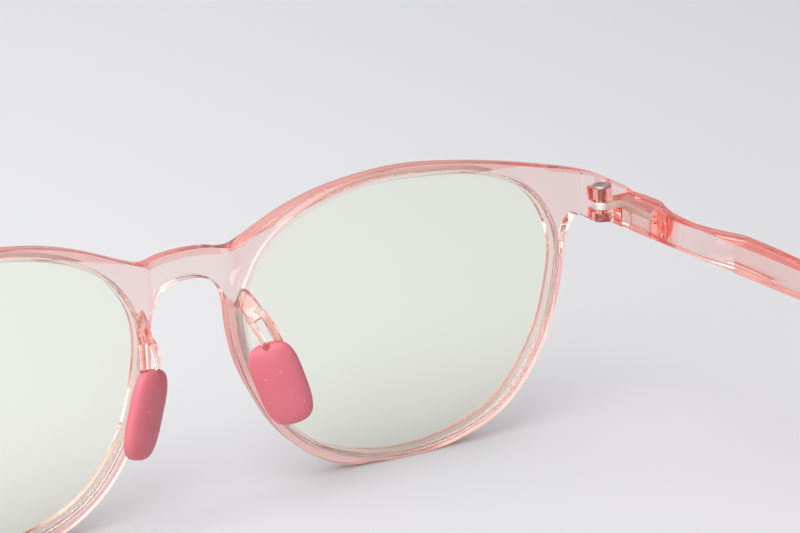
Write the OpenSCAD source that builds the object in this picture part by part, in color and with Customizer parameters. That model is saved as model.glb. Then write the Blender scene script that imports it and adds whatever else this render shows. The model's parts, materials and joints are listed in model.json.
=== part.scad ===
// Blue-light spectacles: a one-piece clear moulded front, plano lenses and folding temples.
// X runs across the face, the front looks along -Y, the temples run back along +Y, Z is up.
// The origin is the middle of the open spectacles, on the surface that they stand on.

/* [Lenses] */
// Width of one lens opening
lens_w = 50; // [48:0.2:51]
// Height of one lens opening
lens_h = 40.6; // [38:0.2:41]
// Distance between the centres of the two lens openings
lens_pitch = 67; // [67:0.5:69]
// Radius of the lens's curve
base_radius = 120; // [115:1:130]
// Thickness of a lens
lens_t = 1.6; // [1.2:0.1:1.8]
// How deep the lens's edge sits in the rim
groove_depth = 0.6; // [0.4:0.1:0.7]

/* [Front] */
// Depth of the rim from front to back
rim_depth = 3.2; // [3:0.1:3.4]
// Thickness of the rim around the lower half of a lens
rim_t = 1.2; // [1.1:0.1:1.5]

/* [Hinges] */
// Radius of the two plastic knuckles on the front
knuckle_r = 1.5; // [1.3:0.05:1.5]
// Height of the lower knuckle
lower_h = 1.8; // [1.5:0.1:1.9]
// Height of the upper knuckle
upper_h = 2.1; // [1.8:0.1:2.2]
// Thickness of the metal plate's eye
plate_t = 1.1; // [0.9:0.1:1.2]
// Radius of the screw's shank
shank_r = 0.5; // [0.45:0.05:0.6]
// Radius of the screw's head
head_r = 1.45; // [1.2:0.05:1.5]
// Clearance around the turning eye
hinge_gap = 0.05; // [0.04:0.01:0.08]

/* [Temples] */
// Height of a temple's shaft
temple_h = 4.4; // [4.2:0.1:4.6]
// Height of the tip behind the ear
tip_h = 5.6; // [5:0.1:6]

/* [Nose pads] */
// Length of a silicone pad
pad_len = 12.8; // [12.4:0.2:13.6]
// Width of a silicone pad
pad_w = 7.2; // [6.4:0.2:7.6]
// Thickness of a silicone pad
pad_t = 3.4; // [3:0.1:3.8]

/* [Hidden] */
$fn = 48;
fine = 160;

// Everything is drawn for the +X side, the wearer's left, and mirrored for the right
LEFT = 1;
RIGHT = -1;

lens_x = lens_pitch / 2;
lens_z = lens_h / 2 + rim_t;
// The sphere's nearest point lies inboard of and above a lens centre, which tilts the lenses
vertex = [26.9, -0.4, lens_z + 5.4];
lens_back = 0.6;
groove_gap = 0.05;
bridge_back = 0;
bridge_depth = 2.4;

hinge = [64.8, 6.6];
lower_z = lens_z + 9.9;
plate_z = lower_z + lower_h + hinge_gap;
upper_z = plate_z + plate_t + hinge_gap;
head_z = upper_z + upper_h;
head_h = 0.35;
nut_r = 1.05;
nut_h = 1.2;
// The two halves of the mitre, where the open temple rests against the endpiece
front_mitre = 6.6;
temple_mitre = 6.75;

temple_z = lens_z + 11.2;
tip_end = [137, tip_h / 2];
// The front's foremost place is the rim above the lens, this far behind the sphere's vertex
bow = pow(0.71 * lens_h / 2, 2) / (2 * base_radius);
shift_y = -(tip_end.x + tip_h / 2 + vertex.y - rim_depth + bow) / 2;

// Lens outline as fractions of half its width and height, from the outboard end upwards
EYE = [[0.97, 0], [1, 0.37], [0.86, 0.74], [0.56, 0.93], [0.2, 0.99], [-0.16, 1],
    [-0.53, 0.91], [-0.82, 0.73], [-0.99, 0.4], [-0.98, 0], [-0.86, -0.44], [-0.58, -0.83],
    [-0.16, -1], [0.24, -0.98], [0.62, -0.78], [0.87, -0.37]];

// The front's outline from the lens centres' height: top edge from bridge to endpiece,
// the endpiece's lower edge in to the rim, and the nose side from the rim up to the bridge
BROW = [[0, 16.1], [3.4, 15.9], [6.2, 15.4], [9.4, 16.4], [16.6, 19.3], [25, 21.2], [36, 21.9],
    [48.5, 20.4], [58, 18.5], [64, 17], [68.2, 14.8], [70.4, 13.4]];
ENDPIECE = [[70.4, 9], [66.4, 9], [64, 9.7], [61.8, 10.7], [60.5, 8.8], [59.8, 5], [59.4, 2]];
NOSE_SIDE = [[26, -21.3], [22.2, -20.6], [16.7, -17.5], [12.4, -13.2], [9.5, -8],
    [7.2, -2.6], [6.1, 3.4], [5.9, 8], [4.3, 10.8], [2, 11.8], [0, 11.9]];

// The temple in plan, outer face and inner face, from the hinge to the tip
OUTER = [[70.4, 6.75], [70.8, 10], [70.6, 13.4], [69.5, 16], [68.9, 20], [69, 26], [70.2, 30],
    [71.5, 34], [71.4, 46], [71, 64], [70, 82], [68.2, 100], [66, 118], [64.2, 140]];
INNER = [[66.5, 6.75], [66.8, 14], [67.3, 28], [67.9, 44], [68.2, 60], [67.6, 80], [66, 98],
    [63.8, 116], [61.8, 140]];
// The temple's middle line seen from the side, down over the ear to the tip
SPINE = [[6.75, temple_z], [40, temple_z], [72, temple_z], [90, temple_z - 0.4],
    [101, temple_z - 3.2], [112, temple_z - 10], [124, temple_z - 19.6], tip_end];

// One point of a smooth curve, a share t of the way from b to c
function between(a, b, c, d, t) =
    0.5 * (2 * b + (c - a) * t + (2 * a - 5 * b + 4 * c - d) * t * t
    + (3 * b - a - 3 * c + d) * t * t * t);

// Smooth closed loop through the points p, with n steps from each point to the next
function loop_through(p, n) = let (m = len(p))
    [for (i = [0 : m - 1], k = [0 : n - 1])
        between(p[(i + m - 1) % m], p[i], p[(i + 1) % m], p[(i + 2) % m], k / n)];

// Smooth open curve through the points p
function curve_through(p, n) = let (m = len(p))
    concat([for (i = [0 : m - 2], k = [0 : n - 1])
        between(p[max(i - 1, 0)], p[i], p[i + 1], p[min(i + 2, m - 1)], k / n)], [p[m - 1]]);

// Anticlockwise loop moved outwards by d along its own normals
function grown(p, d) = let (m = len(p))
    [for (i = [0 : m - 1]) let (t = p[(i + 1) % m] - p[(i + m - 1) % m])
        p[i] + d * [t.y, -t.x] / norm(t)];

// Unit vector to the left of a curve's direction at its point i
function left_of(p, i) = let (t = p[min(i + 1, len(p) - 1)] - p[max(i - 1, 0)])
    [-t.y, t.x] / norm(t);

eye_loop = [for (q = loop_through([for (f = EYE) [f.x * lens_w, f.y * lens_h] / 2], 4))
    q + [lens_x, 0]];
rim_loop = grown(eye_loop, rim_t);
// The stretch of the rim's outer edge that runs under the lens, from temple side to nose side
under_first = len(rim_loop) - 1;
under_last = 48;
half_outline = concat(curve_through(BROW, 4), curve_through(ENDPIECE, 3),
    [for (i = [under_first : -1 : under_last]) rim_loop[i]], curve_through(NOSE_SIDE, 3));

// The +X half's shapes serve both sides
module on_side(side) {
    translate([0, shift_y, 0]) mirror([side < 0 ? 1 : 0, 0, 0]) children();
}

// Prism along Y of an outline drawn in X and Z from the lens centres' height
module along_y(outline) {
    translate([0, 30, lens_z]) rotate([90, 0, 0]) linear_extrude(60) polygon(outline);
}

// Slab bent to the lens's curve, from a distance a to a distance b ahead of the rim's back
module curved_slab(a, b) {
    translate(vertex + [0, base_radius, 0]) difference() {
        sphere(base_radius + b, $fn = fine);
        sphere(base_radius + a, $fn = fine);
    }
}

// The plan of the endpiece: it leaves the rim, turns back and ends in the mitre face
module endpiece_plan() {
    polygon([[62.9, 1.7], [66.2, 2.7], [68.8, 3.8], [70, 5], [70.4, front_mitre - 0.4],
        [70.4, front_mitre], [66.5, front_mitre], [66.4, 5.6], [62.9, 4.9]]);
}

// Rim, bridge and endpiece of one half, with the lens opening and its groove
module half_front() {
    difference() {
        intersection() {
            along_y(half_outline);
            union() {
                intersection() {
                    curved_slab(0, rim_depth);
                    translate([5.5, -30, 0]) cube([57.5, 60, 60]);
                }
                translate([-0.01, bridge_back - bridge_depth, lens_z + 5])
                    cube([9, bridge_depth, 30]);
                linear_extrude(60) endpiece_plan();
            }
        }
        along_y(eye_loop);
        intersection() {
            along_y(grown(eye_loop, groove_depth + groove_gap));
            curved_slab(lens_back - groove_gap, lens_back + lens_t + groove_gap);
        }
    }
}

// The two knuckles with the block that ties each to the endpiece
module knuckles() {
    for (level = [[lower_z, lower_h], [upper_z, upper_h]]) translate([0, 0, level[0]]) {
        translate(hinge) cylinder(h = level[1], r = knuckle_r);
        translate([hinge.x - knuckle_r, 3.6, 0])
            cube([2 * knuckle_r, hinge.y - 3.6, level[1]]);
    }
}

// The bore for the screw, the seats of its head and nut, and the room in which the eye turns
module hinge_voids() {
    translate(hinge) {
        translate([0, 0, head_z]) cylinder(h = 9, r = head_r + hinge_gap);
        translate([0, 0, lower_z - 1]) cylinder(h = 9, r = shank_r + hinge_gap / 2);
        translate([0, 0, lower_z - 1]) cylinder(h = nut_h + 1, r = nut_r);
        translate([0, 0, plate_z - hinge_gap])
            cylinder(h = plate_t + 2 * hinge_gap, r = knuckle_r + 0.2);
    }
}

// A pad's middle, its lean towards the nose, its rake and its turn towards the face
pad_mid = [10.6, 6.2, lens_z - 4];
pad_lean = 17;
pad_rake = -3;
pad_turn = 60;
pad_top = pad_mid + pad_len / 2
    * [-sin(pad_lean) * cos(pad_rake), sin(pad_rake), cos(pad_lean) * cos(pad_rake)];

// Z runs up the pad and X through its thickness towards the nose
module in_pad() {
    translate(pad_mid) rotate([0, -pad_lean, 0]) rotate([-pad_rake, 0, 0])
        rotate([0, 0, 180 - pad_turn]) children();
}

// The blade that the silicone is pushed over
module pad_blade() {
    in_pad() translate([-0.6, -1.7, 2.4 - pad_len / 2]) cube([1.2, 3.4, pad_len - 2.4]);
}

// Two prongs from the back of the rim to the top of the blade
module pad_prongs() {
    for (ends = [[[9, 0.8, 7.6], [1.6, 0.4, -0.6]], [[7.4, 0.8, 5.2], [-0.5, 0.6, -0.6]]]) {
        from = ends[0] + [0, 0, lens_z];
        way = pad_top + ends[1] - from;
        translate(from) rotate([0, acos(way.z / norm(way)), atan2(way.y, way.x)])
            cylinder(h = norm(way), r = 0.6);
    }
}

module front_frame() {
    color([0.96, 0.72, 0.7, 0.5]) for (side = [LEFT, RIGHT]) on_side(side) {
        difference() {
            union() {
                half_front();
                knuckles();
            }
            hinge_voids();
        }
        pad_blade();
        pad_prongs();
    }
}

module lens(side) {
    color([0.9, 0.93, 0.88, 0.35]) on_side(side) intersection() {
        along_y(grown(eye_loop, groove_depth));
        curved_slab(lens_back, lens_back + lens_t);
    }
}

// Silicone sleeve of oval section with round ends, open at the top for the blade
module nose_pad(side) {
    end_r = 3;
    color([0.9, 0.45, 0.5]) on_side(side) difference() {
        in_pad() intersection() {
            translate([0, 0, -pad_len / 2]) linear_extrude(pad_len)
                polygon([for (a = [0 : 10 : 350]) [pad_t * cos(a), pad_w * sin(a)] / 2]);
            rotate([0, 90, 0]) linear_extrude(pad_t + 1, center = true) {
                square([pad_len, pad_w - 2 * end_r], center = true);
                square([pad_len - 2 * end_r, pad_w], center = true);
                for (x = [-1, 1], y = [-1, 1])
                    translate([x * (pad_len / 2 - end_r), y * (pad_w / 2 - end_r)])
                        circle(end_r);
            }
        }
        pad_blade();
        pad_prongs();
    }
}

// Cheese-headed screw through both knuckles and the plate's eye
module hinge_screw(side) {
    color([0.7, 0.7, 0.72]) on_side(side) translate(hinge) {
        translate([0, 0, lower_z]) cylinder(h = head_z - lower_z, r = shank_r);
        translate([0, 0, head_z]) cylinder(h = head_h, r = head_r);
    }
}

// Tubular nut pressed into the foot of the lower knuckle
module hinge_nut(side) {
    color([0.6, 0.6, 0.62]) on_side(side) translate([hinge.x, hinge.y, lower_z])
        difference() {
            cylinder(h = nut_h, r = nut_r);
            translate([0, 0, -1]) cylinder(h = nut_h + 2, r = shank_r);
        }
}

// The plate's anchor, moulded into the temple, and the arm that joins it to the eye
anchor = [[67.1, 7.6, plate_z], [1.1, 8.4, plate_t]];
arm = [[hinge.x, 6.9, plate_z], [anchor[0].x + anchor[1].x - hinge.x, 1.1, plate_t]];

module box(place) {
    translate(place[0]) cube(place[1]);
}

module plate_body() {
    box(anchor);
    difference() {
        union() {
            box(arm);
            translate([hinge.x, hinge.y, plate_z]) cylinder(h = plate_t, r = knuckle_r);
        }
        translate([hinge.x, hinge.y, plate_z - 1])
            cylinder(h = plate_t + 2, r = shank_r + hinge_gap);
    }
}

module hinge_plate(side) {
    color([0.72, 0.72, 0.74]) on_side(side) plate_body();
}

// Small post under the anchor that keys it in the temple
pin_at = [anchor[0].x + anchor[1].x / 2, 10.6, lens_z + 9.6];
pin_r = 0.35;

module pin_body() {
    translate(pin_at) cylinder(h = anchor[0].z - pin_at.z, r = pin_r);
}

module plate_pin(side) {
    color([0.6, 0.6, 0.62]) on_side(side) pin_body();
}

// Side view of a temple: its spine with an even shaft that swells into a round tip
module temple_side() {
    spine = curve_through(SPINE, 6);
    last = len(spine) - 1;
    swell_from = 0.6 * last;
    half_h = [for (i = [0 : last])
        (temple_h + (tip_h - temple_h) * max(0, (i - swell_from) / (last - swell_from))) / 2];
    up = left_of(spine, last);
    ahead = [up.y, -up.x];
    polygon(concat([for (i = [0 : last]) spine[i] + half_h[i] * left_of(spine, i)],
        [for (a = [75 : -15 : -75]) spine[last] + tip_h / 2 * (sin(a) * up + cos(a) * ahead)],
        [for (i = [last : -1 : 0]) spine[i] - half_h[i] * left_of(spine, i)]));
}

module temple_plan() {
    inner = curve_through(INNER, 4);
    polygon(concat(curve_through(OUTER, 4),
        [for (i = [len(inner) - 1 : -1 : 0]) inner[i]]));
}

module temple(side) {
    color([0.96, 0.72, 0.7, 0.5]) on_side(side) difference() {
        intersection() {
            linear_extrude(60) temple_plan();
            translate([50, 0, 0]) rotate([90, 0, 90]) linear_extrude(40) temple_side();
        }
        plate_body();
        pin_body();
    }
}

front_frame();
lens(RIGHT);  // right_lens
lens(LEFT);  // left_lens
nose_pad(RIGHT);  // right_nose_pad
nose_pad(LEFT);  // left_nose_pad
hinge_screw(RIGHT);  // right_hinge_screw
hinge_screw(LEFT);  // left_hinge_screw
hinge_nut(RIGHT);  // right_hinge_nut
hinge_nut(LEFT);  // left_hinge_nut
temple(RIGHT);  // right_temple
temple(LEFT);  // left_temple
hinge_plate(RIGHT);  // right_hinge_plate
hinge_plate(LEFT);  // left_hinge_plate
plate_pin(RIGHT);  // right_plate_pin
plate_pin(LEFT);  // left_plate_pin
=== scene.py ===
"""Blue-light spectacles: a clear pale-pink moulded front, plano lenses and folding temples."""

import json
import math

import bmesh
import bpy
import numpy as np
from mathutils import Matrix, Vector
from mathutils.geometry import delaunay_2d_cdt


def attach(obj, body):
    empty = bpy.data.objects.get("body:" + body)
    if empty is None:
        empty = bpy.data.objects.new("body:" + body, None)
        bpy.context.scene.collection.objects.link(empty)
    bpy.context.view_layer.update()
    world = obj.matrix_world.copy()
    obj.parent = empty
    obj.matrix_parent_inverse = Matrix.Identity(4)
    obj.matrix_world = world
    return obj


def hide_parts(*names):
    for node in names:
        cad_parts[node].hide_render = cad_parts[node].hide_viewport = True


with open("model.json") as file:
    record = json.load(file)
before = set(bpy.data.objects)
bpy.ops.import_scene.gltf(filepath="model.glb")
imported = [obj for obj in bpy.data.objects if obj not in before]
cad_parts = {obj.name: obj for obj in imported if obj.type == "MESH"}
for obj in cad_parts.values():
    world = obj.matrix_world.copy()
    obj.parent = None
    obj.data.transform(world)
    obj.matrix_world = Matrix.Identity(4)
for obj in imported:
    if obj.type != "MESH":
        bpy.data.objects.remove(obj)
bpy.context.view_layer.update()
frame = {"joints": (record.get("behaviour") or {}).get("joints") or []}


# --- Front -----------------------------------------------------------------------------
# The front is one injection moulding of clear nylon, tinted pale pink: both rims, the
# bridge, the endpieces, two knuckles of each hinge and the arms that carry the nose pads.
# Its back is flat beside the bridge and at the endpieces and chamfered round the lenses.

# Shapes are drawn in millimetres for the wearer's left half: x from the middle, y back
# from the bridge's rear face and z up from the lens centres.
axle = Vector(frame["joints"][1]["pos_m"]) * 1000
HINGE = (64.8, 6.6)
DRAWN_ORIGIN = axle - Vector((HINGE[0], HINGE[1], 12.3))


def on_frame(points, side=1):
    """Points drawn in millimetres as metres on the frame, mirrored for the right side."""
    p = np.asarray(points, float) * (side, 1, 1) + tuple(DRAWN_ORIGIN)
    return p / 1000


def curve_through(knots, steps, closed=False):
    """A smooth curve through the knots, with steps points from each knot to the next."""
    k = np.asarray(knots, float)
    n = len(k)
    spans = n if closed else n - 1
    at = (lambda i: i % n) if closed else (lambda i: min(max(i, 0), n - 1))
    out = []
    for i in range(spans):
        a, b, c, d = (k[at(i + j)] for j in (-1, 0, 1, 2))
        for t in np.arange(steps) / steps:
            out.append(0.5 * (2 * b + (c - a) * t + (2 * a - 5 * b + 4 * c - d) * t * t
                              + (3 * b - a - 3 * c + d) * t ** 3))
    if not closed:
        out.append(k[-1])
    return np.array(out)


def evenly(points, spacing, closed=False):
    """The same line with its points spaced evenly along it."""
    p = np.vstack([points, points[:1]]) if closed else np.asarray(points)
    s = np.concatenate([[0], np.cumsum(np.linalg.norm(np.diff(p, axis=0), axis=1))])
    count = max(int(round(s[-1] / spacing)), 2)
    at = np.linspace(0, s[-1], count + 1)[:count if closed else count + 1]
    return np.stack([np.interp(at, s, p[:, j]) for j in range(p.shape[1])], 1)


def softened(loop, reach):
    """The loop with every point averaged over its neighbours within the reach."""
    n = int(3 * reach)
    w = np.exp(-0.5 * (np.arange(-n, n + 1) / reach) ** 2)
    w /= w.sum()
    p = np.pad(loop, ((n, n), (0, 0)), mode="wrap")
    return np.stack([np.convolve(p[:, j], w, "valid") for j in range(p.shape[1])], 1)


def outward(loop):
    """Unit normals pointing out of an anticlockwise loop."""
    t = np.roll(loop, -1, 0) - np.roll(loop, 1, 0)
    n = np.stack([t[:, 1], -t[:, 0]], 1)
    return n / np.linalg.norm(n, axis=1)[:, None]


def ramp(v, low, high):
    """Rises smoothly from 0 at the low value to 1 at the high one."""
    t = np.clip((np.asarray(v, float) - low) / (high - low), 0, 1)
    return t * t * (3 - 2 * t)


LENS_X = 33.5
HALF_OPENING = (25.0, 20.3)
RIM_DEPTH = 3.2
EYE_KNOTS = [(0.97, 0), (1, 0.37), (0.86, 0.74), (0.56, 0.93), (0.2, 0.99), (-0.16, 1),
             (-0.53, 0.91), (-0.82, 0.73), (-0.99, 0.4), (-0.98, 0), (-0.86, -0.44),
             (-0.58, -0.83), (-0.16, -1), (0.24, -0.98), (0.62, -0.78), (0.87, -0.37)]
eye = curve_through(np.array(EYE_KNOTS) * HALF_OPENING, 16, closed=True) + (LENS_X, 0)
eye = softened(evenly(eye, 0.25, closed=True), 8)

# Rims and lenses lie on a sphere of 120 mm radius, close to a common plano lens's curve. The
# flat bridge passes into it at its sides, and the endpiece's back is a flat that leans a little.
BASE_CURVE = 120
SPHERE_MID = (26.9, 119.6, 5.4)
BRIDGE_DEPTH = 2.4
BRIDGE_SIDE = (4.6, 8.4)
ENDPIECE_FROM = 62.4
# The endpiece steps back to the mitre face, which the temple's front end meets
MITRE_FROM, MITRE_Y, MITRE_SLOPE = 66.35, 6.6, 0.12


def on_sphere(x, z, radius):
    dx, dz = x - SPHERE_MID[0], z - SPHERE_MID[2]
    return SPHERE_MID[1] - np.sqrt(radius ** 2 - dx ** 2 - dz ** 2)


def back_face(x, z):
    """How far back the rear surface is: flat at the bridge, curved, and flat at the end."""
    x = np.abs(x)
    y = on_sphere(x, z, BASE_CURVE) * ramp(x, *BRIDGE_SIDE)
    end = 4.9 + 0.2 * (x - 62.9)
    y = np.where(x > ENDPIECE_FROM, np.minimum(y, end), y)
    step = np.clip((x - MITRE_FROM) / MITRE_SLOPE, 0, 1)
    return np.where(x > MITRE_FROM, end + (MITRE_Y - end) * step, y)


def front_face(x, z):
    x = np.abs(x)
    k = ramp(x, *BRIDGE_SIDE)
    return on_sphere(x, z, BASE_CURVE + RIM_DEPTH) * k - BRIDGE_DEPTH * (1 - k)


def between_faces(points, level):
    """The points at a level from 0 at the rear face to -RIM_DEPTH at the front face."""
    x, z = points[:, 0], points[:, 1]
    rear, ahead = back_face(x, z), front_face(x, z)
    return list(zip(x, rear + level * (rear - ahead) / RIM_DEPTH, z))


# Outline of one half, anticlockwise: bridge arch, nose side, under the lens, endpiece, brow
NOSE_SIDE = [(-1.2, 11.87), (0, 11.9), (2, 11.8), (4.3, 10.8), (5.9, 8), (6.1, 3.4),
             (7.2, -2.6), (9.5, -8), (12.4, -13.2), (16.7, -17.5), (22.2, -20.6),
             (26, -21.3)]
TEMPLE_SIDE = [(59.4, 2), (59.8, 5), (60.5, 8.8), (61.8, 10.7), (64, 9.7), (66.4, 9)]
BROW = [(70.4, 13.4), (68.2, 14.8), (64, 17), (58, 18.5), (48.5, 20.4), (36, 21.9),
        (25, 21.2), (16.6, 19.3), (9.4, 16.4), (6.2, 15.4), (3.4, 15.9), (0, 16.1),
        (-1.2, 16.07)]
# Under the lens and beside it the rim is 1.2 mm wide
under = eye + 1.2 * outward(eye)
low = [i for i in range(len(eye)) if 26.5 < under[i, 0] and under[i, 1] < 1.5
       and (under[i, 1] < -10 or under[i, 0] > 40)]
start = next(i for i in low if (i - 1) % len(eye) not in low)
low = [(start + j) % len(eye) for j in range(len(low))]
outline = np.vstack([curve_through(NOSE_SIDE, 10), under[low], curve_through(TEMPLE_SIDE, 8),
                     [(70.4, 9)], curve_through(BROW, 10)])
outline = evenly(outline, 0.22, closed=True)
# The line is smoothed over a millimetre or so, but these corners stay nearly as drawn
CORNERS = [(6.2, 15.4), (70.4, 13.4), (70.4, 9), (66.4, 9), (61.8, 10.7), (-1.2, 16.07),
           (-1.2, 11.87)]
nearest = np.min([np.linalg.norm(outline - c, axis=1) for c in CORNERS], axis=0)
ground_z = 0.002 - DRAWN_ORIGIN.z
outline[:, 1] = np.maximum(outline[:, 1], ground_z)
keep = 1 - ramp(nearest, 1.2, 4.5)[:, None]
outline = softened(outline, 1) * keep + softened(outline, 5.5) * (1 - keep)

# How wide the rim is at each point of the outline, and so how wide the chamfer is. There is
# none beside the bridge or at the endpiece, where the back is flat to its edge.
width = np.min(np.linalg.norm(outline[:, None] - eye[None], axis=2), axis=1)
ox, oz = outline[:, 0], outline[:, 1]
chamfered = np.ones(len(outline))
chamfered = np.where((oz > 5.5) & (ox < 30), 1 - ramp(oz, 5.5, 9), chamfered)
chamfered = np.where((oz > 14) & (ox < 30), ramp(ox, 8.5, 17), chamfered)
chamfered = np.where((oz > 14) & (ox > 30), 1 - ramp(ox, 46, 54), chamfered)
chamfered = np.where((oz > 4.2) & (oz <= 14) & (ox > 50), 0, chamfered)
chamfer = np.clip(width - 0.5, 0.3, 1.25)
drop = np.tan(math.radians(30)) * chamfer
# The bridge's top and the endpiece's top have a narrow steep chamfer of their own
steep = (oz > 14) * np.maximum(1 - ramp(ox, 5.2, 7.2), ramp(ox, 56, 60))
chamfered = np.maximum(chamfered, steep)
chamfer = chamfer * (1 - steep) + steep * np.where(ox < 30, 0.95, 0.55)
drop = drop * (1 - steep) + steep * np.where(ox < 30, 0.6, 0.42)
# Elsewhere the rear edge is only rounded, and hardly so under the bridge's arch
soft_edge = np.where((oz < 13) & (ox < 5.8) & (oz > 7.5), 0.18, 0.32)
round_front = 0.35 + 0.8 * ramp(ox, 68.5, 70.2)

outline_out = outward(outline)


def inset(distance):
    """The outline moved into the plastic, held back where a corner is too tight for it."""
    share = np.ones(len(outline))
    edge = np.roll(outline, -1, 0) - outline
    for _ in range(60):
        moved = outline - outline_out * (distance * share)[:, None]
        turned = np.sum((np.roll(moved, -1, 0) - moved) * edge, 1) < 0.15 * np.sum(edge * edge, 1)
        if not turned.any():
            break
        bad = turned | np.roll(turned, 1) | np.roll(turned, -1) | np.roll(turned, 2)
        share = np.where(bad, share * 0.85, share)
        share = np.minimum(share, softened(share[:, None], 1)[:, 0])
    return moved


def half_front():
    """One half as a closed mesh, drawn a little past the middle, where it is cut later."""
    rings = []
    zero = np.zeros(len(outline))
    c, d, k, r, f = chamfer, drop, chamfered, soft_edge, round_front
    bevel = [(c + 0.12, zero), (c + 0.02, zero - 0.01), (c - 0.08, zero - 0.055),
             (zero + 0.12, -d + 0.06), (zero + 0.03, -d - 0.02), (zero, -d - 0.12)]
    # A narrow flat ring inside each face's edge keeps the rounding's shading off the face
    flat_ring = 0.06
    for (distance, level), a in zip(bevel, np.radians([0, 18, 36, 54, 72, 90])):
        distance = k * distance + (1 - k) * r * (1 - math.sin(a))
        level = k * level - (1 - k) * r * (1 - math.cos(a))
        if not rings:
            rings.append((inset(distance + flat_ring), level))
        rings.append((inset(distance), level))
    rings.append((inset(zero), zero - RIM_DEPTH / 2))
    for a in np.radians([0, 22.5, 45, 67.5, 90]):
        rings.append((inset(f * (1 - math.cos(a))), -RIM_DEPTH + f * (1 - math.sin(a))))
    rings.append((inset(f + flat_ring), zero - RIM_DEPTH))
    # The lens opening's wall, with the groove that the lens snaps into
    out = outward(eye)
    flat = np.zeros(len(eye))
    eye_rings = [(eye + d * out, flat + level) for d, level in [
        (0.2, 0), (0.14, 0), (0.04, -0.04), (0, -0.14), (0, -0.55), (0.65, -0.55),
        (0.65, -2.25), (0, -2.25), (0, -3.06), (0.04, -3.16), (0.14, -3.2), (0.2, -3.2)]]

    verts, faces = [], []

    def add(points, level):
        first = len(verts)
        verts.extend(between_faces(points, level))
        return list(range(first, first + len(points)))

    def wall(ring_list, flip):
        rows = [add(p, level) for p, level in ring_list]
        for a, b in zip(rows, rows[1:]):
            n = len(a)
            for i in range(n):
                f = (a[i], a[(i + 1) % n], b[(i + 1) % n], b[i])
                faces.append(f[::-1] if flip else f)
        return rows[0], rows[-1]

    outer_rear, outer_front = wall(rings, True)
    eye_rear, eye_front = wall(eye_rings, False)

    def inside(points, loop):
        x, z = points[:, 0], points[:, 1]
        hit = np.zeros(len(points), bool)
        for (x1, z1), (x2, z2) in zip(loop, np.roll(loop, -1, 0)):
            if z1 != z2:
                crosses = (z1 > z) != (z2 > z)
                hit ^= crosses & (x < (x2 - x1) * (z - z1) / (z2 - z1) + x1)
        return hit

    def cap(outer_ids, eye_ids, level, flip):
        """Fills the face between the outline and the opening with small triangles."""
        loops = [np.array([[verts[i][0], verts[i][2]] for i in ids])
                 for ids in (outer_ids, eye_ids)]
        gx, gz = np.meshgrid(np.arange(-1, 71, 0.8), np.arange(-22, 23, 0.7))
        gx = gx + 0.4 * (np.arange(gx.shape[0]) % 2)[:, None]
        grid = np.stack([gx.ravel(), gz.ravel()], 1)
        # Rows of points follow the two upright lines where the back face bends
        extra = [(x, z) for x in (62.34, 62.46, 66.35, 66.47) for z in np.arange(9.4, 18, 0.25)]
        beside = np.abs(grid[:, :1] - (62.4, 66.4)).min(axis=1) > 0.35
        grid = np.vstack([grid[beside], extra])
        edge_points = np.vstack(loops)
        far = np.array([np.min(np.sum((edge_points - g) ** 2, 1)) for g in grid])
        grid = grid[(far > 0.3 ** 2) & inside(grid, loops[0]) & ~inside(grid, loops[1])]
        n0, n1 = len(loops[0]), len(loops[1])
        cons = [(i, (i + 1) % n0) for i in range(n0)]
        cons += [(n0 + i, n0 + (i + 1) % n1) for i in range(n1)]
        given = np.vstack([edge_points, grid])
        made, _, tris, origin, _, _ = delaunay_2d_cdt(
            [Vector(p) for p in given], cons, [], 0, 1e-7)
        new = add(grid, np.full(len(grid), level))
        ids = list(outer_ids) + list(eye_ids) + new
        where = [ids[o[0]] if o else None for o in origin]
        mid = np.array([np.mean([made[i][:] for i in t], 0) for t in tris])
        good = inside(mid, loops[0]) & ~inside(mid, loops[1])
        for t, ok in zip(tris, good):
            f = [where[i] for i in t]
            if ok and None not in f:
                faces.append(f if flip else f[::-1])

    cap(outer_rear, eye_rear, 0.0, False)
    cap(outer_front, eye_front, -RIM_DEPTH, True)
    return verts, faces


def mesh_piece(name, verts, faces, side=1, sharp=35):
    """A mesh object in metres on the frame, smooth but for edges sharper than the angle."""
    bm = bmesh.new()
    made = [bm.verts.new(v) for v in on_frame(verts, side)]
    for f in faces:
        try:
            bm.faces.new([made[i] for i in f])
        except ValueError:
            pass
    bmesh.ops.recalc_face_normals(bm, faces=bm.faces)
    mesh = bpy.data.meshes.new(name)
    bm.to_mesh(mesh)
    bm.free()
    piece = bpy.data.objects.new(name, mesh)
    bpy.context.scene.collection.objects.link(piece)
    crease(piece, sharp)
    return piece


def crease(piece, sharp):
    """Smooth shading with the edges sharper than the angle kept crisp."""
    bm = bmesh.new()
    bm.from_mesh(piece.data)
    for f in bm.faces:
        f.smooth = True
    for e in bm.edges:
        e.smooth = len(e.link_faces) == 2 and e.calc_face_angle(0) < math.radians(sharp)
    bm.to_mesh(piece.data)
    bm.free()


def rounded_box(w, h, radii, steps):
    """Points round a box of half sizes w and h, with a radius for its + and its - side."""
    points = []
    for q, (sx, sy) in enumerate([(1, 1), (-1, 1), (-1, -1), (1, -1)]):
        r = radii[0] if sx > 0 else radii[1]
        for k in range(steps):
            a = math.radians(90 * (q + k / (steps - 1)))
            points.append((sx * (w - r) + r * math.cos(a), sy * (h - r) + r * math.sin(a)))
    return points


def ring_faces(rings, n):
    """The four-sided faces between rings of n points each."""
    return [(i * n + j, i * n + (j + 1) % n, (i + 1) * n + (j + 1) % n, (i + 1) * n + j)
            for i in range(rings - 1) for j in range(n)]


def tube_faces(rings, n):
    """The faces between the rings, with both ends closed."""
    last = (rings - 1) * n
    return ring_faces(rings, n) + [tuple(range(n))[::-1], tuple(last + j for j in range(n))]


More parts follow.
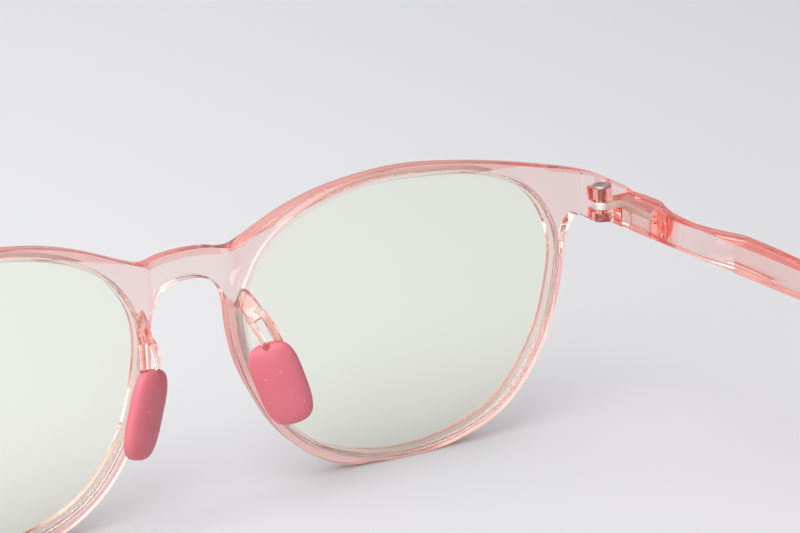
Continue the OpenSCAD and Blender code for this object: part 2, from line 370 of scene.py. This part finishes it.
def sweep(line, widths, thicks, across, corner=0.45):
    """A bar of rounded-rectangle section along a line; across is its width's direction."""
    p = np.asarray(line, float)
    verts = []
    steps = 5
    t = np.gradient(p, axis=0)
    t /= np.linalg.norm(t, axis=1)[:, None]
    for i in range(len(p)):
        a = np.asarray(across[i], float)
        a = a - t[i] * (a @ t[i])
        a /= np.linalg.norm(a)
        b = np.cross(t[i], a)
        w, h = widths[i] / 2, thicks[i] / 2
        r = corner * min(w, h)
        verts += [p[i] + a * u + b * v for u, v in rounded_box(w, h, (r, r), steps)]
    return verts, tube_faces(len(p), 4 * steps)


def bar(knots, sizes, across):
    """A swept bar through knots, with its width, thickness and direction at each knot."""
    line, size, way = (curve_through(k, 12) for k in (knots, sizes, across))
    return sweep(line, size[:, 0], size[:, 1], way)


def lathe(profile, centre, turns=64):
    """A turned shape about an upright axis: profile is radius and height, from the foot up."""
    verts, faces = [], []
    n = len(profile)
    for k in range(turns):
        a = 2 * math.pi * k / turns
        verts += [(centre[0] + r * math.cos(a), centre[1] + r * math.sin(a), z)
                  for r, z in profile]
    for k in range(turns):
        m = (k + 1) % turns
        faces += [(k * n + i, m * n + i, m * n + i + 1, k * n + i + 1) for i in range(n - 1)]
    if profile[0][0] > 0 and profile[0] != profile[-1]:
        faces.append(tuple(k * n for k in range(turns))[::-1])
        faces.append(tuple(k * n + n - 1 for k in range(turns)))
    return verts, faces


def join_solids(base, tools, how="UNION"):
    """Fuses solids into one skin, as one moulding has, or cuts them out of it."""
    for tool in tools:
        m = base.modifiers.new("join", "BOOLEAN")
        m.operation, m.solver, m.object = how, "EXACT", tool
    bpy.context.view_layer.update()
    done = bpy.data.meshes.new_from_object(
        base.evaluated_get(bpy.context.evaluated_depsgraph_get()))
    base.modifiers.clear()
    base.data = done
    for tool in tools:
        bpy.data.objects.remove(tool)


# Heights of the hinge's parts above the lens centres
LOWER_Z, LOWER_H = 9.9, 1.8
PLATE_Z, PLATE_T = 11.75, 1.1
UPPER_Z, UPPER_H = 12.9, 2.1
HEAD_Z = UPPER_Z + UPPER_H
KNUCKLE_R = 1.5

front = mesh_piece("front", *half_front())
# Each knuckle is a short upright barrel, and a web joins it to the endpiece's back
fused = []
for z, h in ((LOWER_Z, LOWER_H), (UPPER_Z, UPPER_H)):
    r = KNUCKLE_R
    fused.append(mesh_piece("knuckle", *lathe(
        [(r - 0.15, z), (r - 0.04, z + 0.04), (r, z + 0.15), (r, z + h - 0.15),
         (r - 0.04, z + h - 0.04), (r - 0.15, z + h)], HINGE)))
    fused.append(mesh_piece("web", *sweep(
        [(HINGE[0] - 0.03, y, z + h / 2) for y in (4, 5, HINGE[1])], [2.9] * 3, [h - 0.04] * 3,
        [(1, 0, 0)] * 3, corner=0.12)))
# The pad's arm leaves the back of the rim as a flat trunk and forks into two prongs
ARM_PARTS = [
    ([(7.6, 0.4, 8.0), (8.1, 1.9, 7.2), (8.5, 3.1, 6.2), (8.7, 4.0, 5.3)],
     [(2.9, 1.4), (2.7, 1.3), (2.5, 1.15), (2.4, 1.0)],
     [(0.45, 0.3, 0.8), (0.55, 0.4, 0.7), (0.7, 0.4, 0.6), (0.8, 0.3, 0.5)]),
    ([(8.9, 2.9, 6.6), (9.4, 4.1, 6.0), (9.95, 5.2, 4.5), (10.43, 6.3, 2.7), (10.55, 6.4, 2.0)],
     [(1.1, 1.1), (1.1, 1.1), (1.05, 1.05), (1.0, 1.0), (1.0, 1.0)],
     [(0.8, 0.3, 0.5)] * 2 + [(0.95, 0, 0.2)] * 3),
    ([(7.7, 2.8, 5.4), (7.75, 3.9, 4.9), (7.95, 5.2, 3.7), (8.3, 6.4, 2.2), (8.45, 6.5, 1.8)],
     [(0.95, 1.0), (0.9, 1.0), (0.85, 0.95), (0.85, 0.9), (0.85, 0.9)],
     [(0.8, 0.3, 0.5)] * 2 + [(0.95, 0, 0.2)] * 3)]
fused += [mesh_piece("arm", *bar(*part)) for part in ARM_PARTS]
join_solids(front, fused)
# Cut away for the screw's shank, the nut, the plate's eye and the screw's head
VOIDS = [(0.52, LOWER_Z - 1, HEAD_Z + 1), (1.06, LOWER_Z - 1, LOWER_Z + 1.24),
         (1.72, PLATE_Z - 0.05, UPPER_Z), (1.52, HEAD_Z, HEAD_Z + 3)]
join_solids(front, [mesh_piece("void", *lathe([(r, low), (r, high)], HINGE, 48))
                    for r, low, high in VOIDS], "DIFFERENCE")


def mirror_half(piece, sharp):
    """Cuts the piece on the middle plane and adds its mirror image as one skin."""
    bm = bmesh.new()
    bm.from_mesh(piece.data)
    everything = bm.verts[:] + bm.edges[:] + bm.faces[:]
    bmesh.ops.bisect_plane(bm, geom=everything, plane_co=(0, 0, 0), plane_no=(1, 0, 0),
                           clear_inner=True, dist=1e-7)
    other = bmesh.ops.duplicate(bm, geom=bm.verts[:] + bm.edges[:] + bm.faces[:])["geom"]
    for v in other:
        if isinstance(v, bmesh.types.BMVert):
            v.co.x = -v.co.x
    bmesh.ops.reverse_faces(bm, faces=[f for f in other if isinstance(f, bmesh.types.BMFace)])
    bmesh.ops.remove_doubles(bm, verts=bm.verts[:], dist=2e-6)
    bm.to_mesh(piece.data)
    bm.free()
    crease(piece, sharp)


mirror_half(front, 32)


def linear(hex_colour):
    """An sRGB hex colour as the linear numbers that a shader takes."""
    c = np.array([int(hex_colour[i:i + 2], 16) for i in (1, 3, 5)]) / 255
    c = np.where(c <= 0.04045, c / 12.92, ((c + 0.055) / 1.055) ** 2.4)
    return (*c, 1.0)


def node(tree, kind, settings=None, links=None):
    """Adds a node, sets its sockets and fields, and links its inputs to other outputs."""
    made = tree.nodes.new(kind)
    for key, value in (settings or {}).items():
        if isinstance(key, str) and hasattr(made, key):
            setattr(made, key, value)
        else:
            made.inputs[key].default_value = value
    for key, output in (links or {}).items():
        tree.links.new(output, made.inputs[key])
    return made


def spaced(mm):
    """The scale of a pattern whose marks are this many millimetres apart."""
    return 1000 / mm


def new_material(name):
    material = bpy.data.materials.new(name)
    material.use_nodes = True
    material.node_tree.nodes.clear()
    return material, material.node_tree


def tinted_nylon():
    """Clear nylon, moulded in a polished tool: glossy, and pinker the deeper it is."""
    material, tree = new_material("clear_pink_nylon_moulded")
    place = node(tree, "ShaderNodeTexCoord")
    # The moulding's surface is very slightly wavy, from how the plastic flowed in
    flow = node(tree, "ShaderNodeTexNoise", {"Scale": spaced(6.25), "Detail": 2.0},
                {"Vector": place.outputs["Object"]})
    bump = node(tree, "ShaderNodeBump", {"Strength": 0.02, "Distance": 0.0001},
                {"Height": flow.outputs["Fac"]})
    # Seen along its surface it is deeper in colour, as light there has come a long way in it
    slant = node(tree, "ShaderNodeLayerWeight", {"Blend": 0.5})
    share = node(tree, "ShaderNodeMapRange", {"From Min": 0.32, "From Max": 0.8},
                 {"Value": slant.outputs["Facing"]})
    slanted = node(tree, "ShaderNodeMix", {"data_type": "RGBA", 6: linear("#FFFFFF"),
                                           7: linear("#FF8478")},
                   {"Factor": share.outputs["Result"]})
    # Its edges gather light from all along the moulding, which leaves them a deeper pink
    edge = node(tree, "ShaderNodeAttribute", {"attribute_name": "edge"})
    tint = node(tree, "ShaderNodeMix", {"data_type": "RGBA", "blend_type": "MULTIPLY",
                                        7: linear("#FFC6BE")},
                {"Factor": edge.outputs["Fac"], 6: slanted.outputs[2]})
    skin = node(tree, "ShaderNodeBsdfPrincipled",
                {"Roughness": 0.0, "IOR": 1.51, "Transmission Weight": 1.0},
                {"Base Color": tint.outputs[2], "Normal": bump.outputs["Normal"]})
    # Light loses 0.1 % of its red, 6 % of its green and 7 % of its blue in a millimetre
    depth = node(tree, "ShaderNodeVolumeAbsorption",
                 {"Color": (0.985, 0.3, 0.18, 1), "Density": 88.0})
    # Where a lens's ground edge is pressed against it, its grey-green shows through
    pressed = node(tree, "ShaderNodeAttribute", {"attribute_name": "pressed"})
    matt = node(tree, "ShaderNodeBsdfTranslucent", {"Color": linear("#F2F5EA")})
    both = node(tree, "ShaderNodeMixShader", None,
                {0: pressed.outputs["Fac"], 1: skin.outputs["BSDF"], 2: matt.outputs["BSDF"]})
    node(tree, "ShaderNodeOutputMaterial", None,
         {"Surface": both.outputs["Shader"], "Volume": depth.outputs["Volume"]})
    return material


def mark_faces(piece, name, values):
    """Writes a number on every face, for the material to read."""
    piece.data.attributes.new(name, "FLOAT", "FACE").data.foreach_set("value", values)


nylon = tinted_nylon()


def finish_piece(piece, material, body, replaced):
    """Gives the piece its material and body, and hides the plain solid it stands for."""
    piece.data.materials.clear()
    piece.data.materials.append(material)
    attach(piece, body)
    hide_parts(replaced)


finish_piece(front, nylon, "front", "front_frame")
# Edge faces are those off both the rear and the front surface, and those at a lens opening
# or in its groove take less of the tint. The lens is pressed in hardest beside the nose.
NEAR_OPENING = 0.72
spot = np.array([face.center for face in front.data.polygons]) * 1000 - tuple(DRAWN_ORIGIN)
spot[:, 0] = np.abs(spot[:, 0])
below = back_face(spot[:, 0], spot[:, 2]) - spot[:, 1]
above = spot[:, 1] - front_face(spot[:, 0], spot[:, 2])
away = np.array([np.min(np.hypot(*(eye - (x, z)).T)) for x, _, z in spot])
on_edge = np.minimum(np.abs(below), np.abs(above)) > 0.12
mark_faces(front, "edge", on_edge * np.where(away < NEAR_OPENING, 0.3, 1.0))
in_groove = (below > 0.7) & (below < 2.1) & (away > 0.6) & (away < NEAR_OPENING)
beside_nose = (spot[:, 0] < 26) & (spot[:, 2] < 8.5)
mark_faces(front, "pressed", 0.6 * (in_groove & beside_nose))


# --- Lenses ------------------------------------------------------------------------------
# Two plano lenses of clear resin, snapped into the rims' grooves. They bend to the same
# sphere as the rims. A coating takes out some blue, which leaves a faint green-yellow
# tint, and each edge is ground matt where it sits in the groove.
GROOVED = 0.6
LENS_BACK, LENS_FRONT = -0.6, -2.2
EDGE_BREAK = 0.09


def lens_mesh():
    """Rear face, ground edge and front face as rings, and which faces are the edge's."""
    out = outward(eye)
    middle = eye.mean(axis=0)
    shares = [0.04, 0.15, 0.3, 0.45, 0.6, 0.74, 0.86, 0.94, 0.985]
    rim = eye + GROOVED * out
    broken = rim - EDGE_BREAK * out
    rows = [(middle + (rim - middle) * k, LENS_BACK) for k in shares]
    rows += [(broken, LENS_BACK), (rim, LENS_BACK - EDGE_BREAK),
             (rim, LENS_FRONT + EDGE_BREAK), (broken, LENS_FRONT)]
    rows += [(middle + (rim - middle) * k, LENS_FRONT) for k in shares[::-1]]
    verts = [v for points, level in rows for v in between_faces(points, level)]
    n = len(eye)
    faces = ring_faces(len(rows), n)
    edge = slice(len(shares) * n, (len(shares) + 3) * n)
    for r in (0, len(rows) - 1):
        ids = [r * n + i for i in range(n)]
        verts.append(tuple(np.mean([verts[i] for i in ids], axis=0)))
        faces += [(ids[i], ids[(i + 1) % n], len(verts) - 1) for i in range(n)]
    return verts, faces, edge


def coated_resin():
    """Polished lens resin: clear, with the coating's faint green-yellow in transmission."""
    material, tree = new_material("lens_resin_polished")
    place = node(tree, "ShaderNodeTexCoord")
    coat = node(tree, "ShaderNodeTexNoise", {"Scale": spaced(33.3), "Detail": 1.0},
                {"Vector": place.outputs["Object"]})
    tint = node(tree, "ShaderNodeMix", {"data_type": "RGBA", 6: linear("#FDFFF6"),
                                        7: linear("#FBFEF3")}, {"Factor": coat.outputs["Fac"]})
    # The coating takes nearly all of the mirror image off the surface
    skin = node(tree, "ShaderNodeBsdfPrincipled",
                {"Roughness": 0.0, "IOR": 1.5, "Transmission Weight": 1.0,
                 "Specular Tint": (0.12, 0.14, 0.12, 1)},
                {"Base Color": tint.outputs[2]})
    node(tree, "ShaderNodeOutputMaterial", None, {"Surface": skin.outputs["BSDF"]})
    return material


def ground_edge():
    """Resin ground by a fine wheel: a pale line, in which what is behind shows blurred."""
    material, tree = new_material("lens_resin_ground_edge")
    place = node(tree, "ShaderNodeTexCoord")
    # Such marks are typically some 0.05 mm apart, and are drawn coarser so that they show
    grit = node(tree, "ShaderNodeTexNoise", {"Scale": spaced(0.2857), "Detail": 3.0},
                {"Vector": place.outputs["Object"]})
    shade = node(tree, "ShaderNodeMix", {"data_type": "RGBA", 6: linear("#F6F8F2"),
                                         7: linear("#FDFEFA")}, {"Factor": grit.outputs["Fac"]})
    bump = node(tree, "ShaderNodeBump", {"Strength": 0.04, "Distance": 0.00005},
                {"Height": grit.outputs["Fac"]})
    blur = node(tree, "ShaderNodeBsdfPrincipled",
                {"Roughness": 0.25, "IOR": 1.5, "Transmission Weight": 1.0},
                {"Base Color": shade.outputs[2], "Normal": bump.outputs["Normal"]})
    glow = node(tree, "ShaderNodeBsdfTranslucent", None, {"Color": shade.outputs[2]})
    both = node(tree, "ShaderNodeMixShader", {"Fac": 0.1},
                {1: blur.outputs["BSDF"], 2: glow.outputs["BSDF"]})
    node(tree, "ShaderNodeOutputMaterial", None, {"Surface": both.outputs["Shader"]})
    return material


resin, ground = coated_resin(), ground_edge()
for side, word in ((-1, "right"), (1, "left")):
    verts, faces, edge = lens_mesh()
    lens = mesh_piece(f"{word}_lens_blank", verts, faces, side, sharp=30)
    finish_piece(lens, resin, "front", f"{word}_lens")
    lens.data.materials.append(ground)
    for face in lens.data.polygons[edge]:
        face.material_index = 1


# --- Nose pads -----------------------------------------------------------------------------
# Each pad is a sleeve of soft silicone, moulded in coral pink and pushed over the arm's two
# prongs. It is oval in section with round ends, and the mould leaves a fine line down it.
PAD_MID = (10.64, 6.18, -4.0)
PAD_SIZE = (3.3, 7.3, 12.9)
PAD_LEAN, PAD_RAKE, PAD_TURN = 17.4, -2.6, 60
MOULD_LINE_AT, MOULD_LINE_WIDTH = math.radians(118), 0.035


def pad_mesh():
    """A rounded box of the pad's size, turned into its place beside the nose."""
    def powered(v, e):
        return math.copysign(abs(v) ** e, v)

    # Powers below 1 fill out the ellipsoid's ends and corners
    verts = []
    rows, around = 64, 96
    for i in range(rows + 1):
        b = math.pi * (i / rows - 0.5)
        z = PAD_SIZE[2] / 2 * powered(math.sin(b), 0.62)
        r = max(powered(math.cos(b), 0.55), 0.0)
        for k in range(around):
            a = 2 * math.pi * k / around
            x = PAD_SIZE[0] / 2 * r * powered(math.cos(a), 0.95)
            y = PAD_SIZE[1] / 2 * r * powered(math.sin(a), 0.95)
            y *= 1 + 0.05 * z / PAD_SIZE[2]
            line = math.exp(-((a - MOULD_LINE_AT) / MOULD_LINE_WIDTH) ** 2)
            x, y = x * (1 + 0.02 * line), y * (1 + 0.012 * line)
            verts.append((x, y, z))
    turn = (Matrix.Rotation(math.radians(-PAD_LEAN), 3, "Y")
            @ Matrix.Rotation(math.radians(-PAD_RAKE), 3, "X")
            @ Matrix.Rotation(math.radians(180 - PAD_TURN), 3, "Z"))
    placed = [tuple(turn @ Vector(v) + Vector(PAD_MID)) for v in verts]
    return placed, ring_faces(rows + 1, around)


def satin_silicone():
    """Soft silicone from a fine-blasted mould: satin, a little see-through, with dust on it."""
    material, tree = new_material("coral_silicone_moulded")
    place = node(tree, "ShaderNodeTexCoord")
    cloud = node(tree, "ShaderNodeTexNoise", {"Scale": spaced(3.125), "Detail": 3.0},
                 {"Vector": place.outputs["Object"]})
    coral = node(tree, "ShaderNodeMix", {"data_type": "RGBA", 6: linear("#CB6773"),
                                         7: linear("#D2727E")}, {"Factor": cloud.outputs["Fac"]})
    # A speck of lint 0.2 mm across may lie in each cell of 1.1 mm, but only in few places
    specks = node(tree, "ShaderNodeTexVoronoi", {"Scale": spaced(1.111), "Randomness": 1.0},
                  {"Vector": place.outputs["Object"]})
    few = node(tree, "ShaderNodeValToRGB", None, {"Fac": specks.outputs["Distance"]})
    few.color_ramp.elements[0].position, few.color_ramp.elements[1].position = 0.06, 0.1
    few.color_ramp.elements[0].color = (1, 1, 1, 1)
    few.color_ramp.elements[1].color = (0, 0, 0, 1)
    patch = node(tree, "ShaderNodeTexNoise", {"Scale": spaced(1.4286)},
                 {"Vector": place.outputs["Object"]})
    rare = node(tree, "ShaderNodeMath", {"operation": "GREATER_THAN", 1: 0.6},
                {0: patch.outputs["Fac"]})
    dust = node(tree, "ShaderNodeMath", {"operation": "MULTIPLY"},
                {0: few.outputs["Color"], 1: rare.outputs["Value"]})
    colour = node(tree, "ShaderNodeMix", {"data_type": "RGBA", 7: linear("#F6C9CE")},
                  {"Factor": dust.outputs["Value"], 6: coral.outputs[2]})
    # Blasted grain is typically some 0.05 mm across, and is drawn coarser so that it shows
    grain = node(tree, "ShaderNodeTexNoise", {"Scale": spaced(0.1667), "Detail": 2.0},
                 {"Vector": place.outputs["Object"]})
    bump = node(tree, "ShaderNodeBump", {"Strength": 0.12, "Distance": 0.00004},
                {"Height": grain.outputs["Fac"]})
    skin = node(tree, "ShaderNodeBsdfPrincipled",
                {"Roughness": 0.45, "IOR": 1.41, "Subsurface Weight": 0.2,
                 "Subsurface Radius": (1.0, 0.35, 0.3), "Subsurface Scale": 0.0012,
                 "Sheen Weight": 0.06, "Sheen Roughness": 0.4},
                {"Base Color": colour.outputs[2], "Normal": bump.outputs["Normal"]})
    node(tree, "ShaderNodeOutputMaterial", None, {"Surface": skin.outputs["BSDF"]})
    return material


silicone = satin_silicone()
for side, word in ((-1, "right"), (1, "left")):
    pad = mesh_piece(f"{word}_pad_sleeve", *pad_mesh(), side, sharp=60)
    finish_piece(pad, silicone, "front", f"{word}_nose_pad")


# --- Hinges --------------------------------------------------------------------------------
# A bright steel screw with a broad flat head goes down through both knuckles and the eye of
# the temple's plate into a tubular nut. The plate is stamped, polished and moulded into the
# temple, with a small post under it that keys it there.
SHANK_R, HEAD_R = 0.5, 1.45
NUT_H = 1.2
PLATE_MID = PLATE_Z + PLATE_T / 2


def bright_steel(name, light, dark, rough):
    """Nickel-plated steel: a mirror in the two given tones, dulled by fine turning or rolling
    marks. A darker pair of tones paints shade into it.
    """
    material, tree = new_material(name)
    place = node(tree, "ShaderNodeTexCoord")
    # Such marks are typically some 0.1 mm apart, and are drawn coarser so that they show
    lines = node(tree, "ShaderNodeTexNoise", {"Scale": spaced(0.4), "Detail": 2.0},
                 {"Vector": place.outputs["Object"]})
    tone = node(tree, "ShaderNodeMix", {"data_type": "RGBA", 6: linear(light), 7: linear(dark)},
                {"Factor": lines.outputs["Fac"]})
    bump = node(tree, "ShaderNodeBump", {"Strength": 0.1, "Distance": 0.00002},
                {"Height": lines.outputs["Fac"]})
    skin = node(tree, "ShaderNodeBsdfPrincipled", {"Metallic": 1.0, "Roughness": rough},
                {"Base Color": tone.outputs[2], "Normal": bump.outputs["Normal"]})
    node(tree, "ShaderNodeOutputMaterial", None, {"Surface": skin.outputs["BSDF"]})
    return material


# The screw and nut take a darker copy of the plated steel: painted shade for the dark top of the
# screw's head
screw_steel_painted_shade = bright_steel("nickel_plated_steel_turned_painted_shade", "#B9B8B4", "#A3A29F", 0.22)
plate_steel = bright_steel("nickel_plated_steel_stamped", "#F6F3ED", "#ECE9E2", 0.35)
z0, z1 = LOWER_Z, HEAD_Z
screw_profile = [(0, z0 + 0.05), (SHANK_R - 0.1, z0 + 0.05), (SHANK_R, z0 + 0.15)]
screw_profile += [(SHANK_R, z1), (HEAD_R - 0.06, z1 + 0.01), (HEAD_R, z1 + 0.07),
                  (HEAD_R, z1 + 0.16), (HEAD_R - 0.09, z1 + 0.27), (HEAD_R - 0.2, z1 + 0.32),
                  (HEAD_R - 0.5, z1 + 0.345), (0, z1 + 0.35)]
nut_profile = [(SHANK_R + 0.01, z0), (0.98, z0), (1.04, z0 + 0.07), (1.04, z0 + NUT_H - 0.07),
               (0.98, z0 + NUT_H), (SHANK_R + 0.01, z0 + NUT_H)]
for side, word in ((-1, "right"), (1, "left")):
    screw = mesh_piece(f"{word}_screw", *lathe(screw_profile, HINGE), side)
    finish_piece(screw, screw_steel_painted_shade, "front", f"{word}_hinge_screw")
    nut = mesh_piece(f"{word}_nut", *lathe(nut_profile + nut_profile[:1], HINGE), side)
    finish_piece(nut, screw_steel_painted_shade, "front", f"{word}_hinge_nut")
    # The plate is an eye round the screw, an arm out of it and an anchor down the temple
    r, z, t = KNUCKLE_R, PLATE_Z, PLATE_T
    plate = mesh_piece(f"{word}_plate", *lathe(
        [(r - 0.1, z), (r, z + 0.1), (r, z + t - 0.1), (r - 0.1, z + t)], HINGE), side)
    arm = mesh_piece("plate_arm", *sweep(
        [(x, 7.45, PLATE_MID) for x in (64.9, 66.5, 68.15)], [1.06] * 3, [t - 0.01] * 3,
        [(0, 1, 0)] * 3, corner=0.15), side)
    anchor = mesh_piece("plate_anchor", *sweep(
        [(67.65, y, PLATE_MID) for y in (7.5, 12, 16)], [1.08] * 3, [t - 0.02] * 3,
        [(1, 0, 0)] * 3, corner=0.12), side)
    join_solids(plate, [arm, anchor])
    hole = mesh_piece("plate_hole", *lathe([(0.55, z - 1), (0.55, z + t + 1)], HINGE, 48), side)
    join_solids(plate, [hole], "DIFFERENCE")
    crease(plate, 30)
    finish_piece(plate, plate_steel, f"{word}_side", f"{word}_hinge_plate")
    post = mesh_piece(f"{word}_post", *lathe(
        [(0, 9.6), (0.3, 9.6), (0.35, 9.65), (0.35, 11.78), (0, 11.78)], (67.65, 10.6), 32), side)
    finish_piece(post, plate_steel, f"{word}_side", f"{word}_plate_pin")


# --- Temples -------------------------------------------------------------------------------
# Each temple is moulded in the same pink nylon, thick round the plate, thin behind it and
# thick again after a crisp kink. It runs back straight, bends down over the ear and ends in
# a broader round tip.
OUTER_PARTS = [[(70.4, 6.75), (70.75, 9), (70.95, 12), (70.85, 13.8)],
               [(70.85, 13.8), (70.0, 15.8)],
               [(70.0, 15.8), (69.3, 18.8)],
               [(69.3, 18.8), (69, 22), (69.1, 26), (70.1, 30), (71.45, 33.8)],
               [(71.45, 33.8), (71.55, 40), (71.4, 46), (71, 64), (70, 82), (68.2, 100),
                (66, 118), (64.2, 140)]]
INNER_LINE = [(66.5, 6.75), (66.8, 14), (67.3, 28), (67.9, 44), (68.2, 60), (67.6, 80), (66, 98),
              (63.8, 116), (61.8, 140)]
SPINE = [(6.75, 11.2), (40, 11.2), (72, 11.2), (90, 10.8), (101, 8), (112, 1.2), (124, -8.4),
         (137, -18.5)]
TEMPLE_H, TIP_H = 4.4, 5.6
OUTER_ROUND, INNER_ROUND = 0.42, 0.22
# The thumb dish: how far back its middle is, its half length and height, and its depth
DISH_Y, DISH_LONG, DISH_HIGH, DISH_DEEP = 37, 10, 1.75, 0.42


def temple_mesh():
    """Sections across the temple, each between its outer and its inner line seen from above."""
    outer = np.vstack([curve_through(k, 12) for k in OUTER_PARTS])
    outer = outer[np.concatenate([[True], np.diff(outer[:, 1]) > 1e-6])]
    inner = curve_through(INNER_LINE, 12)
    spine = evenly(curve_through(SPINE, 40), 0.25)
    # Sections stand closer together at the front, where the shape changes fastest
    near = spine[:, 0] < 40
    picked = np.where(near | (np.arange(len(spine)) % 4 == 0))[0]
    tangent = np.gradient(spine, axis=0)
    tangent /= np.linalg.norm(tangent, axis=1)[:, None]
    grow = np.clip((np.arange(len(spine)) / len(spine) - 0.55) / 0.45, 0, 1)
    half = (TEMPLE_H + (TIP_H - TEMPLE_H) * grow) / 2
    stations = [(spine[i], tangent[i], half[i], 1.0) for i in picked[:-1]]
    # The tip is closed by ever smaller sections along a half circle
    last = len(spine) - 1
    for a in np.radians([0, 12, 24, 36, 48, 58, 67, 75, 82, 87]):
        stations.append((spine[last] + tangent[last] * half[last] * math.sin(a), tangent[last],
                         half[last] * math.cos(a), math.cos(a) ** 0.4))
    verts = []
    corner_steps, dish_steps = 6, 16
    for s, (at, way, h, thin) in enumerate(stations):
        up_way = np.array([-way[1], way[0]])
        # The first section is a little smaller, which rounds the end by the mitre face
        start_round = 0.12 * (1 - min(s, 1))
        xi = np.interp(at[0], inner[:, 1], inner[:, 0])
        xo = np.interp(at[0], outer[:, 1], outer[:, 0])
        w = (xo - xi) / 2 * thin - start_round
        hh = h - start_round
        radii = [min(r, w * 0.8, hh * 0.8) for r in (OUTER_ROUND, INNER_ROUND)]
        section = rounded_box(w, hh, radii, corner_steps)
        # The outer side has an oval thumb dish pressed into it just behind the kink
        for v in np.linspace(-(hh - radii[0]), hh - radii[0], dish_steps + 2)[1:-1]:
            along, up = (at[0] - DISH_Y) / DISH_LONG, (v + 0.3) / DISH_HIGH
            section.append((w - DISH_DEEP * max(1 - along ** 2 - up ** 2, 0), v))
        for u, v in section:
            yz = at + up_way * v
            verts.append(((xi + xo) / 2 + u, yz[0], yz[1]))
    return verts, tube_faces(len(stations), 4 * corner_steps + dish_steps)


for side, word in ((-1, "right"), (1, "left")):
    temple = mesh_piece(f"{word}_temple_moulding", *temple_mesh(), side, sharp=24)
    finish_piece(temple, nylon, f"{word}_side", f"{word}_temple")
    # Its narrow top and bottom are its edges
    mark_faces(temple, "edge", [abs(face.normal.z) > 0.5 for face in temple.data.polygons])


# --- Floor, light and camera ---------------------------------------------------------------
# The glasses stand on a matt white board. A large softbox lights them from one side and a
# smaller one from above, in a white room that is dimmer on the other side.
mesh = bpy.data.meshes.new("floor")
mesh.from_pydata([(-3, -3, 0), (3, -3, 0), (3, 3, 0), (-3, 3, 0)], [], [(0, 1, 2, 3)])
floor = bpy.data.objects.new("floor", mesh)
bpy.context.scene.collection.objects.link(floor)
# Coated card: a pale grey with no gloss, with painted light that makes it a little lighter
# towards the side where the room is brighter
material, tree = new_material("matt_white_board")
place = node(tree, "ShaderNodeTexCoord")
across = node(tree, "ShaderNodeVectorMath", {"operation": "DOT_PRODUCT", 1: (-0.87, 0.5, 0)},
              {0: place.outputs["Object"]})
painted_light_falloff = node(tree, "ShaderNodeMapRange", {"From Min": -0.08, "From Max": 0.14},
               {"Value": across.outputs["Value"]})
tone = node(tree, "ShaderNodeMix", {"data_type": "RGBA", 6: linear("#CACACD"),
                                    7: linear("#BEBEC1")}, {"Factor": painted_light_falloff.outputs["Result"]})
board = node(tree, "ShaderNodeBsdfPrincipled", {"Roughness": 0.7},
             {"Base Color": tone.outputs[2]})
node(tree, "ShaderNodeOutputMaterial", None, {"Surface": board.outputs["BSDF"]})
floor.data.materials.append(material)

world = bpy.data.worlds.new("studio")
bpy.context.scene.world = world
world.use_nodes = True
sky = world.node_tree
aim = node(sky, "ShaderNodeTexCoord")
facing = node(sky, "ShaderNodeVectorMath", {"operation": "DOT_PRODUCT", 1: (0.8, -0.3, 0.5)},
              {0: aim.outputs["Generated"]})
level = node(sky, "ShaderNodeMapRange", {"From Min": -0.6, "From Max": 0.9, "To Min": 0.2,
                                         "To Max": 1.35}, {"Value": facing.outputs["Value"]})
sky.links.new(level.outputs["Result"], sky.nodes["Background"].inputs["Strength"])
sky.nodes["Background"].inputs["Color"].default_value = (1, 1, 1, 1)


def softbox(name, place, size, power):
    """A large soft lamp that points at the glasses."""
    lamp = bpy.data.lights.new(name, "AREA")
    lamp.shape, lamp.size, lamp.size_y, lamp.energy = "RECTANGLE", size[0], size[1], power
    box = bpy.data.objects.new(name, lamp)
    bpy.context.scene.collection.objects.link(box)
    box.location = place
    box.rotation_euler = (-Vector(place)).to_track_quat("-Z", "Y").to_euler()


softbox("window", (0.52, 0.2, 0.5), (0.85, 0.85), 5.4)
softbox("top", (0.15, 0.1, 0.9), (0.7, 0.6), 1.6)

# A long lens looks down on the back of the front, from the wearer's left
camera = bpy.data.objects.new("camera", bpy.data.cameras.new("camera"))
bpy.context.scene.collection.objects.link(camera)
camera.data.lens, camera.data.sensor_width = 153.0, 36.0
camera.data.clip_start, camera.data.clip_end = 0.01, 20
forward = Vector((-0.46224, -0.82795, -0.31753))
right = Vector((-0.86602, 0.49847, -0.03905))
up = right.cross(forward)
camera.matrix_world = Matrix((
    (right.x, up.x, -forward.x, 0.193837), (right.y, up.y, -forward.y, 0.339743),
    (right.z, up.z, -forward.z, 0.185065), (0, 0, 0, 1)))
bpy.context.scene.camera = camera

# Light crosses many surfaces inside clear plastic, so it is followed a long way
scene = bpy.context.scene
scene.view_settings.view_transform = "Standard"
scene.cycles.max_bounces = 64
scene.cycles.transmission_bounces = 64
scene.cycles.glossy_bounces = 64
scene.cycles.transparent_max_bounces = 16
